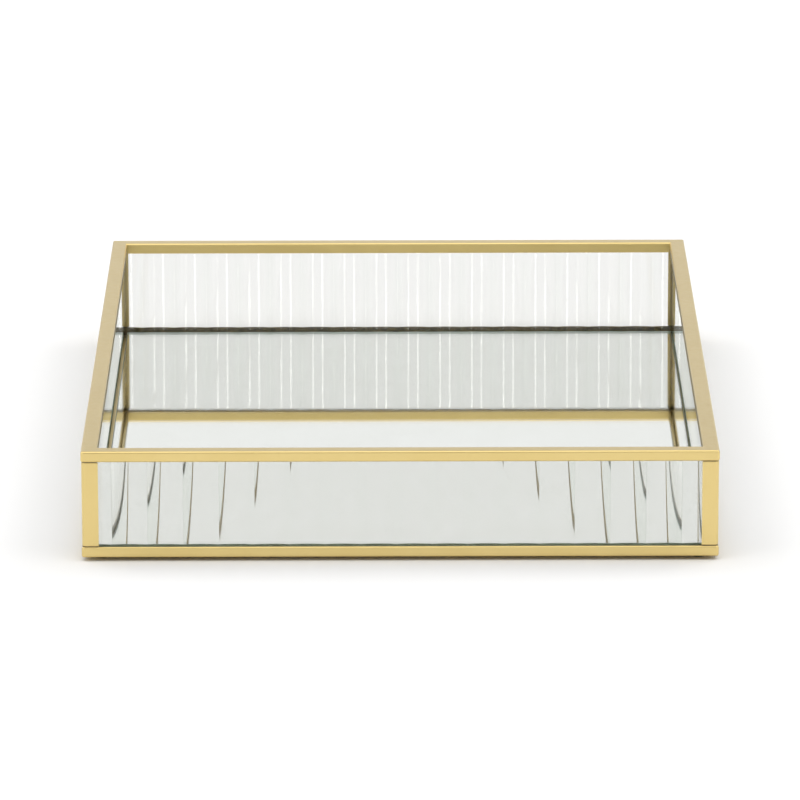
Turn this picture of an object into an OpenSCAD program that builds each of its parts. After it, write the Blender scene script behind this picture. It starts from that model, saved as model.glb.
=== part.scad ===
// Dresser vanity tray: a mirror base inside four glass walls, held by a
// soldered frame of thin brass sections. It stands on four low pads. The front
// and back walls are reeded glass: shallow hollow flutes, with a fine rib
// between each two. The two long side walls are plain glass.
//
// Frame: millimetres, +Z up. The origin is on the floor, in the middle of the
// tray. X runs along the short sides, Y along the long ones, and the front is
// the short side at -Y.

/* [Overall size] */
// Width across the short sides, outside the rim
tray_w = 229; // [160:1:320]
// Length along the long sides, outside the rim
tray_l = 305; // [200:1:420]
// Height of the frame, without the pads
frame_h = 39.6; // [25:0.1:80]

/* [Metal frame] */
// Thickness of the brass strip
sheet_t = 0.8; // [0.6:0.05:1]
// Width of the rim's top face
rim_w = 5.8; // [5.6:0.1:8]
// Height of the rim's outer face
rim_h = 3.9; // [3.5:0.1:6]
// Height of the rim's inner lip
rim_lip_h = 4; // [2.5:0.1:6]
// Rounding along the rim's outer top edge
rim_edge_r = 1.5; // [0.8:0.05:1.5]
// Rounding along the rim's inner top edge
rim_inner_edge_r = 0.9; // [0.8:0.05:1.2]
// Rounding of the frame's upright corners
corner_r = 1.6; // [1.2:0.1:3]
// Length of each leg of a corner post
post_leg = 6.2; // [4:0.1:12]
// How far a post's faces stand in from the faces of the rim
post_inset = 0.2; // [0:0.05:0.3]
// Height of the base rail's outer face
base_h = 3.9; // [3:0.1:8]
// Rounding along the base rail's lower edge
base_edge_r = 0.8; // [0.6:0.05:1]
// Width of the ledge that carries the mirror
ledge_w = 12; // [8:0.5:20]
// Thickness of that ledge
ledge_t = 0.5; // [0.4:0.05:0.8]
// Height of the soldered joint at each end of a post
joint_gap = 0.3; // [0.1:0.05:0.5]

/* [Glass walls] */
// Thickness of a plain side wall
side_glass_t = 3; // [2.5:0.1:3.4]
// Thickness of a ribbed wall, over its ribs
glass_t = 3.7; // [3.4:0.1:4]
// Distance from the outside of the tray to the tips of the ribs
glass_setback = 1; // [1:0.05:1.2]
// Distance from one rib to the next
rib_pitch = 12.8; // [8:0.1:16]
// Width of the flat at the tip of a rib
rib_tip = 0.2; // [0.1:0.05:0.6]
// Depth of the hollow flute between two ribs
flute_depth = 1.8; // [0.3:0.05:1.8]
// How far the front wall's middle rib stands to the right of the wall's middle
front_rib_shift = -1.2; // [-6:0.1:6]
// How far the back wall's middle rib stands to the right of the wall's middle
back_rib_shift = -0.4; // [-6:0.1:6]
// Room between the top of a wall and the rim
glass_top_gap = 0.3; // [0.1:0.05:0.5]
// Room between the end of a long wall and a short wall
glass_end_gap = 0.2; // [0.1:0.05:0.4]

/* [Mirror] */
// Thickness of the mirror's glass
mirror_t = 2.2; // [2:0.1:4]
// Thickness of the silver and paint behind it
backing_t = 0.15; // [0.1:0.05:0.4]
// Room at the mirror's left edge
gap_left = 0.8; // [0.2:0.1:2]
// Room at its right edge
gap_right = 0.3; // [0.2:0.1:2]
// Room at its front edge
gap_front = 3.5; // [0.2:0.1:4]
// Room at its back edge
gap_back = 0.6; // [0.2:0.1:2]

/* [Pads] */
// Diameter of a pad
pad_d = 6; // [5:0.5:10]
// Thickness of a pad
pad_t = 1.4; // [0.8:0.1:3]
// Distance from a pad's centre to the two outer faces beside it
pad_in = 7; // [5:0.5:7]

/* [Hidden] */

$fn = 64;
eps = 0.01;
gold = [0.87, 0.75, 0.47];
solder_grey = [0.45, 0.4, 0.28];
clear_glass = [0.86, 0.93, 0.89, 0.4];
silver = [0.8, 0.84, 0.84];
backing_grey = [0.35, 0.37, 0.38];
pad_black = [0.12, 0.12, 0.12];

base_z = pad_t;
rim_z = base_z + frame_h;
post_bottom = base_z + base_h;
post_top = rim_z - rim_h;
glass_bottom = base_z + ledge_t;
glass_top = rim_z - sheet_t - glass_top_gap;
glass_in = glass_setback + glass_t;
// Glass left behind the deepest part of a flute
web_t = glass_t - flute_depth;
mirror_bottom = glass_bottom + backing_t;
mirror_w = tray_w - 2 * glass_in - gap_left - gap_right;
mirror_l = tray_l - 2 * glass_in - gap_front - gap_back;
mirror_x = (gap_left - gap_right) / 2;
mirror_y = (gap_front - gap_back) / 2;
// A post is bent from slightly thinner strip than the rails
post_thinner = 0.1;
post_t = sheet_t - post_thinner;
// The solder keeps this far inside a post's outer and inner faces
solder_in = 0.15;
solder_leg = post_leg - 2 * solder_in;
solder_t = post_t - solder_in;
// Room between the end of a short wall and the post beside it
post_clear = 0.1;
long_wall_l = tray_l - 2 * (glass_in + glass_end_gap);
short_wall_l = tray_w - 2 * (post_inset + post_t + post_clear);
// A flute is an arc of this radius, which runs from tip to tip with the stated depth
flute_w = rib_pitch - rib_tip;
flute_r = (pow(flute_w / 2, 2) + pow(flute_depth, 2)) / (2 * flute_depth);
// Anything that is cut by a plan is cut up to this height
cut_h = rim_z + 1;

// The four sides, as [turn about Z, length of the side, distance out to it]
FRONT = [0, tray_w, tray_l / 2];
RIGHT = [90, tray_l, tray_w / 2];
BACK = [180, tray_w, tray_l / 2];
LEFT = [270, tray_l, tray_w / 2];

// Puts something made along the front side, with its outer face at y = 0 and
// its inside towards +Y, on one of the four sides.
module on_side(side) {
    rotate(side[0])
        translate([0, -side[2], 0])
            children();
}

// Everything inside the frame's outline, with its rounded upright corners.
module within_outline(inset = 0) {
    w = tray_w - 2 * inset;
    l = tray_l - 2 * inset;
    r = corner_r - inset;
    intersection() {
        children();
        linear_extrude(cut_h)
            union() {
                square([w, l - 2 * r], center = true);
                square([w - 2 * r, l], center = true);
                for (x = [-1, 1], y = [-1, 1])
                    translate([x * (w / 2 - r), y * (l / 2 - r)])
                        circle(r);
            }
    }
}

// Cuts a rail of one side with a 45 degree mitre at each end.
module mitred(length, depth) {
    intersection() {
        children();
        linear_extrude(cut_h)
            polygon([
                [-length / 2, 0],
                [length / 2, 0],
                [length / 2 - depth, depth],
                [-length / 2 + depth, depth],
            ]);
    }
}

// Runs a section, drawn as [inwards, upwards], along a side.
module run_along(length) {
    rotate([90, 0, 90])
        translate([0, 0, -length / 2])
            linear_extrude(length)
                children();
}

// The rim's section: a channel that opens downwards, with round top edges.
module rim_section() {
    ro = rim_edge_r;
    ri = rim_inner_edge_r;
    difference() {
        union() {
            translate([0, -rim_h])
                square([sheet_t, rim_h - ro]);
            translate([rim_w - sheet_t, -rim_lip_h])
                square([sheet_t, rim_lip_h - ri]);
            translate([ro, -sheet_t])
                square([rim_w - ro - ri, sheet_t]);
            translate([ro, -ro])
                circle(ro);
            translate([rim_w - ri, -ri])
                circle(ri);
        }
        translate([sheet_t, -rim_h - eps])
            square([rim_w - 2 * sheet_t, rim_h - sheet_t + eps]);
    }
}

// The base rail's section: an upright face and a ledge under the glass.
module base_section() {
    r = base_edge_r;
    union() {
        translate([0, r])
            square([sheet_t, base_h - r]);
        translate([r, 0])
            square([ledge_w - r, ledge_t]);
        intersection() {
            translate([r, r])
                circle(r);
            square([r, r]);
        }
    }
}

module rim_rail(side) {
    color(gold)
        within_outline()
            on_side(side)
                mitred(side[1], rim_w)
                    translate([0, 0, rim_z])
                        run_along(side[1])
                            rim_section();
}

module base_rail(side) {
    color(gold)
        within_outline()
            on_side(side)
                mitred(side[1], ledge_w)
                    translate([0, 0, base_z])
                        run_along(side[1])
                            base_section();
}

// An angle for one corner: its faces stand in by inset, and x and y say which
// corner it is.
module corner_angle(x, y, inset, thickness, leg, z0, z1) {
    within_outline(inset)
        translate([x * tray_w / 2, y * tray_l / 2, z0])
            rotate(x * y > 0 ? (x > 0 ? 180 : 0) : (x > 0 ? 90 : 270))
                difference() {
                    cube([leg, leg, z1 - z0]);
                    translate([inset + thickness, inset + thickness, -1])
                        cube([leg, leg, z1 - z0 + 2]);
                }
}

module post(x, y) {
    color(gold)
        corner_angle(x, y, post_inset, post_t, post_leg, post_bottom + joint_gap, post_top - joint_gap);
}

// Four thin fillets of solder, one in the joint at an end of each post.
module solder_joints(z0) {
    color(solder_grey)
        for (x = [-1, 1], y = [-1, 1])
            corner_angle(x, y, post_inset + solder_in, solder_t, solder_leg, z0, z0 + joint_gap);
}

// A ribbed wall's plan: flat towards the tray, and a row of hollow flutes on the
// outside. One rib is near the middle of the wall, shift away from it.
module wall_plan(length, shift) {
    flutes = ceil(length / rib_pitch / 2) + 1;
    difference() {
        translate([-length / 2, 0])
            square([length, glass_t]);
        for (i = [-flutes : flutes - 1])
            translate([(i + 0.5) * rib_pitch + shift, flute_depth - flute_r])
                circle(flute_r, $fn = 180);
    }
}

module ribbed_wall(side, length, shift) {
    color(clear_glass)
        on_side(side)
            translate([0, glass_setback, glass_bottom])
                linear_extrude(glass_top - glass_bottom)
                    wall_plan(length, shift);
}

// A plain wall stands with its inner face in line with that of a ribbed one.
module plain_wall(side, length) {
    color(clear_glass)
        on_side(side)
            translate([-length / 2, glass_in - side_glass_t, glass_bottom])
                cube([length, side_glass_t, glass_top - glass_bottom]);
}

// Clear bedding between a wall's top edge and the roof of the rim.
module bedding(side, length, thickness) {
    color(clear_glass)
        on_side(side)
            translate([-length / 2, glass_in - thickness, glass_top])
                cube([length, thickness, glass_top_gap]);
}

module mirror_glass() {
    color(silver)
        translate([mirror_x - mirror_w / 2, mirror_y - mirror_l / 2, mirror_bottom])
            cube([mirror_w, mirror_l, mirror_t]);
}

module mirror_backing() {
    color(backing_grey)
        translate([mirror_x - mirror_w / 2, mirror_y - mirror_l / 2, glass_bottom])
            cube([mirror_w, mirror_l, backing_t]);
}

module pad(x, y) {
    color(pad_black)
        translate([x * (tray_w / 2 - pad_in), y * (tray_l / 2 - pad_in), 0])
            cylinder(d = pad_d, h = pad_t);
}

rim_rail(FRONT);  // rim_front
rim_rail(BACK);  // rim_back
rim_rail(LEFT);  // rim_left
rim_rail(RIGHT);  // rim_right
post(-1, -1);  // post_front_left
post(1, -1);  // post_front_right
post(-1, 1);  // post_back_left
post(1, 1);  // post_back_right
base_rail(FRONT);  // base_rail_front
base_rail(BACK);  // base_rail_back
base_rail(LEFT);  // base_rail_left
base_rail(RIGHT);  // base_rail_right
solder_joints(post_top - joint_gap);  // rim_solder
solder_joints(post_bottom);  // base_solder
ribbed_wall(FRONT, short_wall_l, front_rib_shift);  // glass_front
ribbed_wall(BACK, short_wall_l, -back_rib_shift);  // glass_back
plain_wall(LEFT, long_wall_l);  // glass_left
plain_wall(RIGHT, long_wall_l);  // glass_right
bedding(FRONT, short_wall_l, web_t);  // bedding_front
bedding(BACK, short_wall_l, web_t);  // bedding_back
bedding(LEFT, long_wall_l, side_glass_t);  // bedding_left
bedding(RIGHT, long_wall_l, side_glass_t);  // bedding_right
mirror_glass();
mirror_backing();
pad(-1, -1);  // pad_front_left
pad(1, -1);  // pad_front_right
pad(-1, 1);  // pad_back_left
pad(1, 1);  // pad_back_right
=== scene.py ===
# %% [markdown]
# # A mirror tray for a dressing table
#
# The tray is a shallow box. Its floor is a sheet of mirror and its four walls are clear
# glass, ribbed at the front and back. Thin gold sections hold the sheets together along
# every edge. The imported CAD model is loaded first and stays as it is. It says where each
# part goes, and the cells below build a finished piece round each CAD node.

import math

import bmesh
import bpy
from mathutils import Matrix, Vector


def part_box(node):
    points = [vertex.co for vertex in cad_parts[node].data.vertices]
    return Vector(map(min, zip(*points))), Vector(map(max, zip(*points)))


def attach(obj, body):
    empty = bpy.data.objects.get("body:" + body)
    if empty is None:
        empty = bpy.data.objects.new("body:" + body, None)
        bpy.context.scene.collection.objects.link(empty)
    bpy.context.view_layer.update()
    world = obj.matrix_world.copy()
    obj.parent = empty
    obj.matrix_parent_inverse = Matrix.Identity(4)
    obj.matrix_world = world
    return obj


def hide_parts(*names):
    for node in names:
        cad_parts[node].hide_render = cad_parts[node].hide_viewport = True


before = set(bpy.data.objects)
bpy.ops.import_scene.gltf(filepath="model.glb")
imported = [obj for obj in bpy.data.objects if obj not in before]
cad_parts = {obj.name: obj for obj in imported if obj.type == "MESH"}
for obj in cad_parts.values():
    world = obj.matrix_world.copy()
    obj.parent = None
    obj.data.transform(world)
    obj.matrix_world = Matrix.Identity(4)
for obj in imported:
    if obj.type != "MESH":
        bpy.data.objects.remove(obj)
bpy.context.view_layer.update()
scene = bpy.context.scene
print("CAD nodes:", len(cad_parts))

# %% [markdown]
# ## Measures
#
# Everything is in metres. The places of the pieces are read from the boxes of the CAD
# nodes, so a change in the CAD model moves the finished pieces with it. Only the sizes
# that a box cannot give, such as a rounding or the thickness of a strip, are written here.

# %% Read the places from the CAD nodes
MM = 0.001

rim_low, rim_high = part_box("rim_front")
tray_half_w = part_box("rim_right")[1].x
tray_half_l = -rim_low.y
rim_top = rim_high.z
rim_depth = rim_high.y - rim_low.y
rim_drop = rim_high.z - rim_low.z
rim_lip_drop = 4.0 * MM
strip_t = 0.8 * MM
corner_r = 1.6 * MM

base_low, base_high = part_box("base_rail_front")
base_bottom, base_top = base_low.z, base_high.z
ledge_depth = base_high.y - base_low.y
ledge_t = 0.5 * MM

print("tray", round(2 * tray_half_w / MM, 1), "x", round(2 * tray_half_l / MM, 1), "mm")
print("rim top at", round(rim_top / MM, 2), "mm, rail from", round(base_bottom / MM, 2), "mm")

# %% [markdown]
# ## Helpers for the shapes
#
# A piece is made in a bmesh and written to a mesh. It is hung on the body that it rides
# on and given its materials, and the CAD nodes that it stands for are hidden.
# Small roundings along edges catch the light, so nearly every edge gets one. The faces
# are shaded smooth, edges that turn sharply are kept sharp, and a Weighted Normal
# modifier lets the broad flat faces decide how the narrow roundings next to them shade.

# %% Piece helper
SHARP = math.radians(32)
DOUBLE = 0.0005 * MM


def finish_piece(name, bm, materials, nodes):
    bmesh.ops.remove_doubles(bm, verts=bm.verts, dist=DOUBLE)
    bmesh.ops.recalc_face_normals(bm, faces=bm.faces)
    for face in bm.faces:
        face.smooth = True
    for edge in bm.edges:
        edge.smooth = len(edge.link_faces) == 2 and edge.calc_face_angle(0) < SHARP
    mesh = bpy.data.meshes.new(name)
    bm.to_mesh(mesh)
    loose = sum(not edge.is_manifold for edge in bm.edges)
    bm.free()
    piece = bpy.data.objects.new(name, mesh)
    scene.collection.objects.link(piece)
    for material in materials:
        mesh.materials.append(material)
    modifier = piece.modifiers.new("flat_faces_lead", "WEIGHTED_NORMAL")
    modifier.keep_sharp = True
    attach(piece, "root")
    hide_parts(*nodes)
    print(name, len(mesh.polygons), "faces, open edges:", loose)


def only_verts(items):
    return [item for item in items if isinstance(item, bmesh.types.BMVert)]


def bevel(bm, edges, radius, segments):
    bmesh.ops.bevel(
        bm,
        geom=list(edges),
        offset=radius,
        offset_type="OFFSET",
        affect="EDGES",
        segments=segments,
        profile=0.5,
        material=-1,
        clamp_overlap=True,
    )


# %% [markdown]
# A rail has a top or a bottom and it has a face towards the outside or the inside of
# the tray. These tests tell the faces apart by the way they point, and an edge is then
# found as the place where a face of one kind meets a face of another. A normal is one
# unit long, so its height is near 1 on a level face and near 0 on an upright one.

# %% Edge finders
LEVEL = 0.9
UPRIGHT = 0.1
FACING = 0.3


def faces_up(face):
    return face.normal.z > LEVEL


def faces_down(face):
    return face.normal.z < -LEVEL


def outwards(face):
    middle = face.calc_center_median()
    across, along = middle.x / tray_half_w, middle.y / tray_half_l
    if abs(across) > abs(along):
        return face.normal.x * math.copysign(1, across)
    return face.normal.y * math.copysign(1, along)


def faces_out(face):
    return abs(face.normal.z) < UPRIGHT and outwards(face) > FACING


def faces_in(face):
    return abs(face.normal.z) < UPRIGHT and outwards(face) < -FACING


def meeting(bm, first, second):
    bm.normal_update()
    found = []
    for edge in bm.edges:
        if len(edge.link_faces) == 2:
            a, b = edge.link_faces
            if (first(a) and second(b)) or (first(b) and second(a)):
                found.append(edge)
    return found


# %% [markdown]
# ## Finishes
#
# Each finish is a node material that reads Object coordinates, so its grain has a real
# size in metres and stays on the piece. Values that are the same all over a piece are
# set on the shader itself.

# %% Material helper
def new_material(name):
    material = bpy.data.materials.new(name)
    material.use_nodes = True
    tree = material.node_tree
    shader = tree.nodes["Principled BSDF"]
    where = tree.nodes.new("ShaderNodeTexCoord")
    return material, tree, shader, where.outputs["Object"]


def noise(tree, place, scale, detail=3.0, roughness=0.55):
    node = tree.nodes.new("ShaderNodeTexNoise")
    node.inputs["Scale"].default_value = scale
    node.inputs["Detail"].default_value = detail
    node.inputs["Roughness"].default_value = roughness
    tree.links.new(place, node.inputs["Vector"])
    return node.outputs["Fac"]


def spread(tree, value, low, high, to_low=0.0, to_high=1.0):
    node = tree.nodes.new("ShaderNodeMapRange")
    node.interpolation_type = "SMOOTHSTEP"
    node.inputs["From Min"].default_value = low
    node.inputs["From Max"].default_value = high
    node.inputs["To Min"].default_value = to_low
    node.inputs["To Max"].default_value = to_high
    tree.links.new(value, node.inputs["Value"])
    return node.outputs["Result"]


def blend_colours(tree, amount, first, second):
    node = tree.nodes.new("ShaderNodeMix")
    node.data_type = "RGBA"
    tree.links.new(amount, node.inputs[0])
    for socket, colour in ((node.inputs[6], first), (node.inputs[7], second)):
        if isinstance(colour, tuple):
            socket.default_value = (*colour, 1)
        else:
            tree.links.new(colour, socket)
    return node.outputs[2]


def add_bump(tree, shader, height, distance, strength=1.0, under=None):
    node = tree.nodes.new("ShaderNodeBump")
    node.inputs["Distance"].default_value = distance
    node.inputs["Strength"].default_value = strength
    tree.links.new(height, node.inputs["Height"])
    if under is not None:
        tree.links.new(under, node.inputs["Normal"])
    tree.links.new(node.outputs["Normal"], shader.inputs["Normal"])
    return node.outputs["Normal"]


# %% [markdown]
# ### Satin gold
#
# The sections are brass with a thin satin plating under clear lacquer. Up close it has a
# fine sandy grain, the colour drifts a little along each strip, and faint smudges are left
# from handling. The lacquer is a coat on the shader. It has no colour of its own, so a
# face that is seen at a low angle looks paler than one that is seen squarely.

# %% Gold
def make_gold():
    material, tree, shader, place = new_material("satin_gold")
    shader.inputs["Metallic"].default_value = 1.0
    shader.inputs["Coat Weight"].default_value = 0.35
    shader.inputs["Coat Roughness"].default_value = 0.18
    drift = spread(tree, noise(tree, place, 38, 2), 0.35, 0.65)
    colour = blend_colours(tree, drift, (0.755, 0.585, 0.240), (0.735, 0.565, 0.225))
    smudge = spread(tree, noise(tree, place, 210, 4, 0.65), 0.58, 0.80)
    colour = blend_colours(tree, smudge, colour, (0.715, 0.545, 0.215))
    tree.links.new(colour, shader.inputs["Base Color"])
    grain = noise(tree, place, 2600, 3, 0.6)
    rough = spread(tree, noise(tree, place, 420, 3), 0.3, 0.7, 0.28, 0.33)
    tree.links.new(rough, shader.inputs["Roughness"])
    soft = add_bump(tree, shader, noise(tree, place, 260, 2), 0.001 * MM, 0.4)
    add_bump(tree, shader, grain, 0.008 * MM, 0.5, soft)
    return material


gold = make_gold()
print("material", gold.name)


# %% [markdown]
# ### Solder, also used as painted shade
#
# The joints above and below each post are filled with a soft solder that has gone dull.
# The CAD nodes of these joints are far too small to need a finished shape, so they stay as
# they are and only get this material. The same dark finish is also painted on the inside
# faces of the rails, as shade in the narrow gaps round the mirror.


# %% Solder, also used as painted shade
def make_solder_and_shade():
    material, tree, shader, place = new_material("solder")
    shader.inputs["Metallic"].default_value = 1.0
    lumps = noise(tree, place, 900, 4)
    patches = spread(tree, lumps, 0.35, 0.65)
    colour = blend_colours(tree, patches, (0.20, 0.165, 0.09), (0.36, 0.29, 0.15))
    tree.links.new(colour, shader.inputs["Base Color"])
    tree.links.new(spread(tree, lumps, 0.3, 0.7, 0.45, 0.7), shader.inputs["Roughness"])
    add_bump(tree, shader, lumps, 0.06 * MM)
    return material


solder = make_solder_and_shade()
for name in ("rim_solder", "base_solder"):
    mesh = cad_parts[name].data
    mesh.materials.clear()
    mesh.materials.append(solder)
print("material", solder.name)


# %% [markdown]
# ### Clear glass
#
# Clear sheet glass holds a little iron, so it looks colourless through its thickness and
# green along its edges. A Volume Absorption node does that: light that travels far
# inside the sheet comes out greener. The ribbed sheet is rolled while hot, which leaves
# its faces very slightly uneven. Its grey tint, darker than the plain sheets', is painted
# shade: it dims what is seen through the ribbed walls, standing for a dimmer backdrop
# behind them. One helper makes all three, because only the tint and the unevenness differ.

# %% Glass
IRON_GREEN = (0.46, 0.80, 0.50, 1)
IRON_DENSITY = 9.0


def make_glass(name, tint, wave, wave_height):
    material, tree, shader, place = new_material(name)
    shader.inputs["Base Color"].default_value = (*tint, 1)
    shader.inputs["Roughness"].default_value = 0.0
    shader.inputs["IOR"].default_value = 1.52
    shader.inputs["Transmission Weight"].default_value = 1.0
    add_bump(tree, shader, noise(tree, place, wave, 1), wave_height)
    absorb = tree.nodes.new("ShaderNodeVolumeAbsorption")
    absorb.inputs["Color"].default_value = IRON_GREEN
    absorb.inputs["Density"].default_value = IRON_DENSITY
    output = next(node for node in tree.nodes if node.type == "OUTPUT_MATERIAL")
    tree.links.new(absorb.outputs["Volume"], output.inputs["Volume"])
    return material


# The ribbed sheet's darker grey tint is painted shade for the dim backdrop seen through it.
ribbed_glass = make_glass("ribbed_glass", (0.870, 0.863, 0.852), 110, 0.006 * MM)
plain_glass = make_glass("plain_glass", (0.955, 0.960, 0.950), 20, 0.002 * MM)
mirror_sheet = make_glass("mirror_sheet", (0.985, 0.990, 0.980), 20, 0.002 * MM)
print("materials", ribbed_glass.name, plain_glass.name, mirror_sheet.name)


# %% [markdown]
# ### Silver, paint, bedding, ground edges and rubber
#
# The silver is nearly perfect, with a few specks that are a little less sharp. The paint
# behind it is a dull grey-green. The bedding is a clear compound that has gone slightly
# cloudy. The edges of the mirror's glass are ground and not polished, so they scatter the
# light and look solid and green. The pads are black rubber. All of them take their small
# variations from noise, because an even colour looks like plastic.


# %% Silver, paint, bedding, ground edges and pads
def make_silver():
    material, tree, shader, place = new_material("silver")
    shader.inputs["Metallic"].default_value = 1.0
    faint = spread(tree, noise(tree, place, 60, 2), 0.3, 0.7)
    colour = blend_colours(tree, faint, (0.93, 0.93, 0.92), (0.945, 0.945, 0.94))
    tree.links.new(colour, shader.inputs["Base Color"])
    specks = spread(tree, noise(tree, place, 900, 3), 0.74, 0.9, 0.0, 0.05)
    tree.links.new(specks, shader.inputs["Roughness"])
    return material


def make_paint():
    material, tree, shader, place = new_material("backing_paint")
    fine = noise(tree, place, 1500, 4)
    patches = spread(tree, fine, 0.3, 0.7)
    colour = blend_colours(tree, patches, (0.085, 0.10, 0.095), (0.13, 0.145, 0.135))
    tree.links.new(colour, shader.inputs["Base Color"])
    tree.links.new(spread(tree, fine, 0.3, 0.7, 0.55, 0.75), shader.inputs["Roughness"])
    add_bump(tree, shader, fine, 0.03 * MM)
    return material


def make_bedding():
    material, tree, shader, place = new_material("bedding")
    cloud = noise(tree, place, 700, 3)
    colour = blend_colours(tree, cloud, (0.80, 0.80, 0.76), (0.62, 0.62, 0.57))
    tree.links.new(colour, shader.inputs["Base Color"])
    tree.links.new(spread(tree, cloud, 0.3, 0.7, 0.35, 0.55), shader.inputs["Roughness"])
    shader.inputs["IOR"].default_value = 1.41
    shader.inputs["Transmission Weight"].default_value = 0.6
    add_bump(tree, shader, cloud, 0.05 * MM)
    return material


def make_pad():
    material, tree, shader, place = new_material("pad_rubber")
    fine = noise(tree, place, 2200, 4, 0.7)
    patches = spread(tree, fine, 0.3, 0.7)
    colour = blend_colours(tree, patches, (0.020, 0.020, 0.022), (0.045, 0.045, 0.046))
    tree.links.new(colour, shader.inputs["Base Color"])
    tree.links.new(spread(tree, fine, 0.3, 0.7, 0.7, 0.9), shader.inputs["Roughness"])
    add_bump(tree, shader, fine, 0.05 * MM)
    return material


def make_ground_edge():
    material, tree, shader, place = new_material("ground_edge")
    fine = noise(tree, place, 1800, 3)
    colour = blend_colours(tree, fine, (0.36, 0.47, 0.38), (0.52, 0.64, 0.54))
    tree.links.new(colour, shader.inputs["Base Color"])
    tree.links.new(spread(tree, fine, 0.3, 0.7, 0.5, 0.7), shader.inputs["Roughness"])
    add_bump(tree, shader, fine, 0.02 * MM)
    return material


silver = make_silver()
paint = make_paint()
bedding = make_bedding()
pad_rubber = make_pad()
ground_edge = make_ground_edge()
for side in ("front", "back", "left", "right"):
    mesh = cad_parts[f"bedding_{side}"].data
    mesh.materials.clear()
    mesh.materials.append(bedding)
print("materials", silver.name, paint.name, bedding.name, ground_edge.name, pad_rubber.name)

# %% [markdown]
# ## The gold rails
#
# The rim and the base rail are thin strips folded into long sections and cut at 45
# degrees where they meet, as picture frames are. The section could be swept along each
# side, but then the corners would have to be trimmed to fit. Here the section stands on
# the diagonal of a square and is spun round the middle in four steps. That gives a
# square ring with true mitres, and the ring is then pulled out to the tray's length.


# %% A mitred ring
NEAR = 0.001 * MM


def mitred_ring(section):
    bm = bmesh.new()
    points = []
    for inward, z in section:
        diagonal = tray_half_w - inward
        points.append(bm.verts.new((diagonal, diagonal, z)))
    edges = [bm.edges.new(pair) for pair in zip(points, points[1:] + points[:1])]
    bmesh.ops.spin(
        bm,
        geom=points + edges,
        cent=(0, 0, 0),
        axis=(0, 0, 1),
        angle=math.tau,
        steps=4,
        use_merge=True,
    )
    bmesh.ops.remove_doubles(bm, verts=bm.verts, dist=NEAR)
    for way in (-1, 1):
        half = [vert for vert in bm.verts if vert.co.y * way > 0]
        bmesh.ops.translate(bm, verts=half, vec=(0, way * (tray_half_l - tray_half_w), 0))
    bmesh.ops.recalc_face_normals(bm, faces=bm.faces)
    return bm


def round_upright_corners(bm, radius):
    def at_corner(vert):
        past_x = abs(abs(vert.co.x) - tray_half_w)
        past_y = abs(abs(vert.co.y) - tray_half_l)
        return max(past_x, past_y) < 10 * NEAR

    uprights = [edge for edge in bm.edges if all(at_corner(vert) for vert in edge.verts)]
    bevel(bm, uprights, radius, 6)
    print("upright corner edges rounded:", len(uprights))


# %% [markdown]
# The rim is a channel that opens downwards: an outer face, a flat top and an inner lip, all
# of one strip. The base rail is an angle, and its ledge carries the glass. The upright
# corners are rounded first. The long edges come second, so that their rounding runs on
# round the corners.

# %% Rim and base sections
RIM_OUTER_R = 1.4 * MM
RIM_INNER_R = 0.7 * MM
RIM_FOOT_R = 0.15 * MM
BASE_FOOT_R = 0.8 * MM
BASE_TOP_R = 0.18 * MM


def rim_ring():
    inner = rim_depth - strip_t
    bm = mitred_ring(
        [
            (0, rim_top - rim_drop),
            (0, rim_top),
            (rim_depth, rim_top),
            (rim_depth, rim_top - rim_lip_drop),
            (inner, rim_top - rim_lip_drop),
            (inner, rim_top - strip_t),
            (strip_t, rim_top - strip_t),
            (strip_t, rim_top - rim_drop),
        ]
    )
    round_upright_corners(bm, corner_r)
    bevel(bm, meeting(bm, faces_up, faces_out), RIM_OUTER_R, 8)
    bevel(bm, meeting(bm, faces_up, faces_in), RIM_INNER_R, 5)
    bevel(bm, meeting(bm, faces_down, faces_out), RIM_FOOT_R, 2)
    return bm


def base_ring():
    bm = mitred_ring(
        [
            (0, base_bottom),
            (0, base_top),
            (strip_t, base_top),
            (strip_t, base_bottom + ledge_t),
            (ledge_depth, base_bottom + ledge_t),
            (ledge_depth, base_bottom),
        ]
    )
    round_upright_corners(bm, corner_r)
    bevel(bm, meeting(bm, faces_down, faces_out), BASE_FOOT_R, 5)
    bevel(bm, meeting(bm, faces_up, faces_out), BASE_TOP_R, 2)
    return bm


print("rim section", round(rim_depth / MM, 2), "x", round(rim_drop / MM, 2), "mm")

# %% [markdown]
# A ring is cut into its four rails along the diagonals of its corners. Each cut end is
# closed, and its edge is broken very slightly. Where two rails meet, these two small
# chamfers make the hairline seam that a mitred joint shows. The inside faces of the base
# rails and of the long lips get the dark solder finish. That is painted shade: it darkens
# the narrow gaps round the mirror, where the shade falls.

# %% Cut a ring into rails
def diagonal_cuts(side):
    x_way = -1 if side == "left" else 1
    y_way = -1 if side == "front" else 1
    if side in ("front", "back"):
        return [
            ((-tray_half_w, y_way * tray_half_l, 0), Vector((-1, -y_way, 0))),
            ((tray_half_w, y_way * tray_half_l, 0), Vector((1, -y_way, 0))),
        ]
    return [
        ((x_way * tray_half_w, -tray_half_l, 0), Vector((-x_way, -1, 0))),
        ((x_way * tray_half_w, tray_half_l, 0), Vector((-x_way, 1, 0))),
    ]


SEAM = 0.14 * MM
CUT_REACH = 0.0001 * MM


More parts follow.
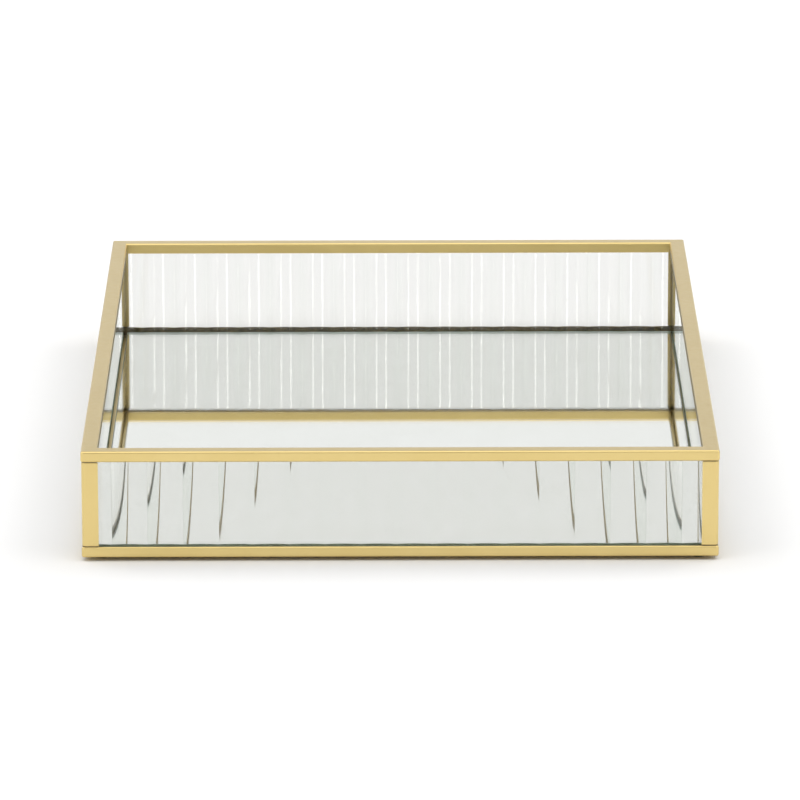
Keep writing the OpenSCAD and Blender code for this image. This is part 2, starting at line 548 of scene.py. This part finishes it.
def cut_rail(ring, side):
    bm = ring.copy()
    for point, normal in diagonal_cuts(side):
        cut = bmesh.ops.bisect_plane(
            bm,
            geom=bm.verts[:] + bm.edges[:] + bm.faces[:],
            dist=CUT_REACH,
            plane_co=point,
            plane_no=normal.normalized(),
            clear_outer=True,
        )
        edges = [item for item in cut["geom_cut"] if isinstance(item, bmesh.types.BMEdge)]
        caps = bmesh.ops.holes_fill(bm, edges=edges, sides=0)["faces"]
        bmesh.ops.recalc_face_normals(bm, faces=bm.faces)
        bevel(bm, {edge for cap in caps for edge in cap.edges}, SEAM, 1)
    return bm


LIP_REACH = 0.1 * MM


# Inside faces of the base rails and of the side rims' lips take slot 1, the dark solder
# finish, as painted shade for the narrow gaps round the mirror.
def paint_inner_shade(bm, kind, side):
    bm.normal_update()
    dark = 0
    for face in bm.faces:
        middle = face.calc_center_median()
        far_in = abs(middle.x) < tray_half_w - rim_depth + LIP_REACH
        on_lip = far_in and side in ("left", "right")
        if faces_in(face) and (kind == "base_rail" or on_lip):
            face.material_index = 1
            dark += 1
    return dark


for kind, make_ring in (("rim", rim_ring), ("base_rail", base_ring)):
    ring = make_ring()
    for side in ("front", "back", "left", "right"):
        rail = cut_rail(ring, side)
        dark = paint_inner_shade(rail, kind, side)
        node = f"{kind}_{side}"
        finish_piece(node + "_strip", rail, [gold, solder], [node])
        print("inner faces left dull:", dark)
    ring.free()

# %% [markdown]
# ## The corner posts
#
# Each corner has a short upright angle, bent from the same strip. It stands a hair's
# breadth inside the faces of the rails. Its ends are filed round before soldering, so a
# fine bright line shows beside a dark one at each joint. All four are made alike. Each is
# built with its heel at the origin and is then mirrored to suit its corner.


# %% One post, placed in each corner
POST_T = 0.7 * MM
POST_HEEL_R = corner_r - 0.2 * MM
POST_END_R = 0.3 * MM
TURNED_OUT = 0.05


def corner_post(node):
    low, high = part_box(node)
    bm = bmesh.new()
    size = high - low
    outline = [(0, 0), (size.x, 0), (size.x, POST_T)]
    outline += [(POST_T, POST_T), (POST_T, size.y), (0, size.y)]
    points = [bm.verts.new((x, y, 0)) for x, y in outline]
    edges = [bm.edges.new(pair) for pair in zip(points, points[1:] + points[:1])]
    plan = bmesh.ops.edgenet_fill(bm, edges=edges)["faces"]
    lifted = bmesh.ops.extrude_face_region(bm, geom=plan)["geom"]
    bmesh.ops.translate(bm, verts=only_verts(lifted), vec=(0, 0, size.z))
    bmesh.ops.recalc_face_normals(bm, faces=bm.faces)
    heel = [edge for edge in bm.edges if all(v.co.x == 0 and v.co.y == 0 for v in edge.verts)]
    bevel(bm, heel, POST_HEEL_R, 6)
    bm.normal_update()
    shown = []
    for edge in bm.edges:
        outer = [min(face.normal.x, face.normal.y) < -TURNED_OUT for face in edge.link_faces]
        ends = [abs(face.normal.z) > LEVEL for face in edge.link_faces]
        if any(outer) and any(ends):
            shown.append(edge)
    bevel(bm, shown, POST_END_R, 3)
    print(node, "end edges rounded:", len(shown))
    x_way = 1 if low.x < 0 else -1
    y_way = 1 if low.y < 0 else -1
    bmesh.ops.scale(bm, verts=bm.verts, vec=(x_way, y_way, 1))
    corner = Vector((low.x if x_way > 0 else high.x, low.y if y_way > 0 else high.y, low.z))
    bmesh.ops.translate(bm, verts=bm.verts, vec=corner)
    finish_piece(node + "_angle", bm, [gold], [node])


for y_name in ("front", "back"):
    for x_name in ("left", "right"):
        corner_post(f"post_{y_name}_{x_name}")

# %% [markdown]
# ## The ribbed glass walls
#
# The front and back walls are reeded. The outer face is a row of hollow flutes, each a
# shallow arc, with a fine rib between each two. One arc is a single point spun about its
# centre. It is copied along the wall, joined into one line and drawn back to the flat
# inner face, which gives the wall's plan as a strip of narrow faces. The strip is trimmed
# to length and extruded up. The ribs are then rounded, because rolled glass never has a
# sharp line in it. A bump texture would not do here: the flutes work as lenses, and only
# a real shape bends what is seen through them.

# %% Ribbed walls
RIB_PITCH = 12.8 * MM
RIB_TIP = 0.2 * MM
FLUTE_DEPTH = 1.8 * MM
FLUTE_HALF = (RIB_PITCH - RIB_TIP) / 2
FLUTE_R = (FLUTE_HALF**2 + FLUTE_DEPTH**2) / (2 * FLUTE_DEPTH)
FLUTE_STEPS = 16
RIB_R = 0.07 * MM
END_MARGIN = 0.5 * MM
RIB_SHIFT = {"front": -1.2 * MM, "back": 0.4 * MM}
GLASS_SETBACK = 1.0 * MM
GLASS_T = 3.7 * MM


def ribbed_wall(side):
    low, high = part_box(f"glass_{side}")
    size = high - low
    length = max(size.x, size.y)
    flutes = math.ceil(length / RIB_PITCH / 2) + 1
    half_angle = math.asin(FLUTE_HALF / FLUTE_R)
    bm = bmesh.new()
    start = bm.verts.new((-FLUTE_HALF, 0, 0))
    centre = (0, FLUTE_DEPTH - FLUTE_R, 0)
    arc = bmesh.ops.spin(
        bm, geom=[start], cent=centre, axis=(0, 0, 1), angle=-2 * half_angle, steps=FLUTE_STEPS
    )
    tip = bmesh.ops.extrude_vert_indiv(bm, verts=arc["geom_last"])["verts"]
    bmesh.ops.translate(bm, verts=tip, vec=(RIB_TIP, 0, 0))
    one = bm.verts[:] + bm.edges[:]
    for number in range(-flutes, flutes):
        copy = bmesh.ops.duplicate(bm, geom=one)["geom"]
        along = (number + 0.5) * RIB_PITCH + RIB_SHIFT[side]
        bmesh.ops.translate(bm, verts=only_verts(copy), vec=(along, 0, 0))
    bmesh.ops.delete(bm, geom=only_verts(one), context="VERTS")
    bmesh.ops.remove_doubles(bm, verts=bm.verts, dist=NEAR)
    drawn = bmesh.ops.extrude_edge_only(bm, edges=bm.edges[:])["geom"]
    for vert in only_verts(drawn):
        vert.co.y = GLASS_T
    for way in (-1, 1):
        bmesh.ops.bisect_plane(
            bm,
            geom=bm.verts[:] + bm.edges[:] + bm.faces[:],
            dist=CUT_REACH,
            plane_co=(way * length / 2, 0, 0),
            plane_no=(way, 0, 0),
            clear_outer=True,
        )
    lifted = bmesh.ops.extrude_face_region(bm, geom=bm.faces[:])["geom"]
    bmesh.ops.translate(bm, verts=only_verts(lifted), vec=(0, 0, size.z))
    bmesh.ops.recalc_face_normals(bm, faces=bm.faces)
    ribs = [
        edge
        for edge in bm.edges
        if all(abs(vert.co.y) < NEAR for vert in edge.verts)
        and abs(edge.verts[0].co.z - edge.verts[1].co.z) > size.z / 2
        and abs(edge.verts[0].co.x) < length / 2 - END_MARGIN
    ]
    bevel(bm, ribs, RIB_R, 2)
    turn = Matrix.Rotation({"front": 0, "back": math.pi}[side], 3, "Z")
    bmesh.ops.translate(bm, verts=bm.verts, vec=(0, GLASS_SETBACK - tray_half_l, low.z))
    bmesh.ops.rotate(bm, verts=bm.verts, cent=(0, 0, 0), matrix=turn)
    name = f"glass_{side}"
    finish_piece(name + "_fluted", bm, [ribbed_glass], [name])
    print(side, "wall:", round(length / RIB_PITCH, 1), "flutes, ribs rounded:", len(ribs))


for side in ("front", "back"):
    ribbed_wall(side)

# %% [markdown]
# The two long side walls are plain sheets. Their edges are ground to a tiny chamfer, as
# every cut sheet's are, so that they don't chip.


# %% Plain side walls
SHEET_EDGE_R = 0.15 * MM


def box_piece(low, high):
    bm = bmesh.new()
    bmesh.ops.create_cube(bm, size=1)
    bmesh.ops.scale(bm, verts=bm.verts, vec=high - low)
    bmesh.ops.translate(bm, verts=bm.verts, vec=(low + high) / 2)
    return bm


for side in ("left", "right"):
    bm = box_piece(*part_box(f"glass_{side}"))
    bevel(bm, bm.edges[:], SHEET_EDGE_R, 2)
    finish_piece(f"glass_{side}_sheet", bm, [plain_glass], [f"glass_{side}"])

# %% [markdown]
# ## The mirror
#
# The mirror is a sheet of clear glass with silver behind it, and paint behind the
# silver. The light goes through the glass, turns at the silver and comes back, and a
# fainter image comes from the top of the glass. Both are there only if the glass and
# the silver are two pieces. The glass is let into the silver by a few hundredths of a
# millimetre, so that no two faces lie in one plane. Its edges are ground, and get their
# own material.

# %% Mirror glass
low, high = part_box("mirror_glass")
back_low, back_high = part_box("mirror_backing")
LET_IN = 0.05 * MM
MIRROR_EDGE_R = 0.1 * MM
bm = box_piece(Vector((low.x, low.y, back_high.z - LET_IN)), high)
upper = [e for e in bm.edges if all(v.co.z > (low.z + high.z) / 2 for v in e.verts)]
bevel(bm, upper, MIRROR_EDGE_R, 2)
bm.normal_update()
for face in bm.faces:
    face.material_index = 0 if abs(face.normal.z) > LEVEL else 1
finishes = [mirror_sheet, ground_edge]
finish_piece("mirror_glass_sheet", bm, finishes, ["mirror_glass"])

# %% [markdown]
# The backing is one thin sheet. Its top is silver, and its sides and underside are paint.
# A narrow border of the top is painted too, because the silver is kept off the cut edge,
# where damp would creep in and blacken it. An inset makes that border.

# %% Mirror backing
PAINTED_BORDER = 0.4 * MM
bm = box_piece(back_low, back_high)
top = [face for face in bm.faces if faces_up(face)]
bmesh.ops.inset_region(bm, faces=top, thickness=PAINTED_BORDER)
bm.normal_update()
widest = max((face for face in bm.faces if faces_up(face)), key=lambda face: face.calc_area())
for face in bm.faces:
    face.material_index = 0 if face == widest else 1
finish_piece("mirror_silver_sheet", bm, [silver, paint], ["mirror_backing"])

# %% [markdown]
# ## The pads
#
# A small round pad under each corner keeps the metal off the dressing table. Its lower
# edge is rounded, so that it slides without catching.


# %% Pads
PAD_FOOT_R = 0.25 * MM


def pad(node):
    low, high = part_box(node)
    middle = (low + high) / 2
    radius = (high.x - low.x) / 2
    bm = bmesh.new()
    bmesh.ops.create_cone(
        bm, cap_ends=True, segments=64, radius1=radius, radius2=radius, depth=high.z - low.z
    )
    bmesh.ops.translate(bm, verts=bm.verts, vec=middle)
    bm.normal_update()
    lower = [e for e in bm.edges if all(v.co.z < middle.z for v in e.verts)]
    bevel(bm, lower, PAD_FOOT_R, 3)
    finish_piece(node + "_disc", bm, [pad_rubber], [node])


for y_name in ("front", "back"):
    for x_name in ("left", "right"):
        pad(f"pad_{y_name}_{x_name}")

# %% [markdown]
# ## The studio
#
# A wide white floor, a dim white surround, and large softboxes round the tray. The floor
# is plain and has no shine, so that only the tray's own shadow shows on it.

# %% Floor
FLOOR_HALF = 12
bm = bmesh.new()
bmesh.ops.create_grid(bm, x_segments=1, y_segments=1, size=FLOOR_HALF)
floor_mesh = bpy.data.meshes.new("floor")
bm.to_mesh(floor_mesh)
bm.free()
floor = bpy.data.objects.new("floor", floor_mesh)
scene.collection.objects.link(floor)
floor_material, _, shader, _ = new_material("floor_white")
shader.inputs["Base Color"].default_value = (0.92, 0.92, 0.92, 1)
shader.inputs["Roughness"].default_value = 0.9
shader.inputs["Specular IOR Level"].default_value = 0.0
floor_mesh.materials.append(floor_material)
print("floor", 2 * FLOOR_HALF, "m across")

# %% [markdown]
# The surround is a weak light from everywhere. Mirror and gold show what stands round
# them, and without it the gaps between the softboxes would reflect as black.

# %% Surround
SURROUND_STRENGTH = 0.3
world = bpy.data.worlds.new("surround")
scene.world = world
world.use_nodes = True
background = world.node_tree.nodes["Background"]
background.inputs["Color"].default_value = (1, 1, 1, 1)
background.inputs["Strength"].default_value = SURROUND_STRENGTH
print("surround strength", SURROUND_STRENGTH)

# %% [markdown]
# Each softbox is given by the direction that it stands in and by how much of the view it
# fills from the tray, in degrees, because that is what its reflection looks like. The one
# overhead lights the floor, and the low one at the back is what the mirror reflects
# towards the camera. The two narrow strips in front make bright upright lines in the
# ribbed glass. They are hidden from matt surfaces, or they would wash out the shadow in
# front of the tray.


# %% Softboxes
SOFTBOX_DISTANCE = 6.0


def softbox(name, azimuth, elevation, wide, high, radiance):
    light = bpy.data.lights.new(name, "AREA")
    light.shape = "RECTANGLE"
    light.size = 2 * SOFTBOX_DISTANCE * math.tan(math.radians(wide / 2))
    light.size_y = 2 * SOFTBOX_DISTANCE * math.tan(math.radians(high / 2))
    light.energy = radiance * math.pi * light.size * light.size_y
    box = bpy.data.objects.new(name, light)
    scene.collection.objects.link(box)
    turn, rise = math.radians(azimuth), math.radians(elevation)
    level = math.cos(rise)
    aim = Vector((math.sin(turn) * level, -math.cos(turn) * level, math.sin(rise)))
    box.location = aim * SOFTBOX_DISTANCE
    box.rotation_euler = aim.to_track_quat("Z", "Y").to_euler()
    box.visible_camera = False
    box.visible_diffuse = not name.startswith("strip")


# name, azimuth from the front, elevation, width and height in degrees, radiance
SOFTBOXES = (
    ("overhead", 0, 89.9, 74, 74, 1.27),
    ("back_low", 180, 15, 90, 20, 0.62),
    ("low_left", -112, 14, 50, 24, 0.5),
    ("low_right", 112, 14, 50, 24, 0.5),
    ("side_left", -90, 45, 60, 40, 0.9),
    ("side_right", 90, 45, 60, 40, 0.9),
    ("strip_left", -33, 16, 12, 24, 6.0),
    ("strip_right", 28, 16, 12, 24, 6.0),
    ("front_high", 0, 50, 60, 30, 0.2),
    ("front_low", 0, 16, 36, 26, 0.40),
)
for row in SOFTBOXES:
    softbox(*row)
print("softboxes:", len(SOFTBOXES))

# %% [markdown]
# ## The camera
#
# A long lens from well back, in line with the middle of the tray and looking down on it by
# about sixteen degrees. Light is followed through many bounces. A view in through the
# front wall, off the silver and out through the back wall crosses six faces of glass, and
# the reflections inside the sheets add more.

# %% Camera
CAMERA_PLACE = (-0.00403, -2.4741, 0.7137)
CAMERA_TURN = (74.2758, 0.1064, -0.1294)
LENS = 303.96
BOUNCES = 24

camera_data = bpy.data.cameras.new("camera")
camera_data.lens = LENS
camera_data.sensor_width = 36
camera_data.clip_end = 50
camera = bpy.data.objects.new("camera", camera_data)
camera.location = CAMERA_PLACE
camera.rotation_euler = [math.radians(turn) for turn in CAMERA_TURN]
scene.collection.objects.link(camera)
scene.camera = camera
scene.view_settings.view_transform = "Standard"
scene.cycles.max_bounces = BOUNCES
scene.cycles.transmission_bounces = BOUNCES
scene.cycles.glossy_bounces = BOUNCES // 2
print("camera at", tuple(round(value, 3) for value in camera.location))

# %% [markdown]
# ## The end
#
# The last cell prints that the scene is built. The finished model has to stay
# inside the box of the CAD model.


print("scene built")
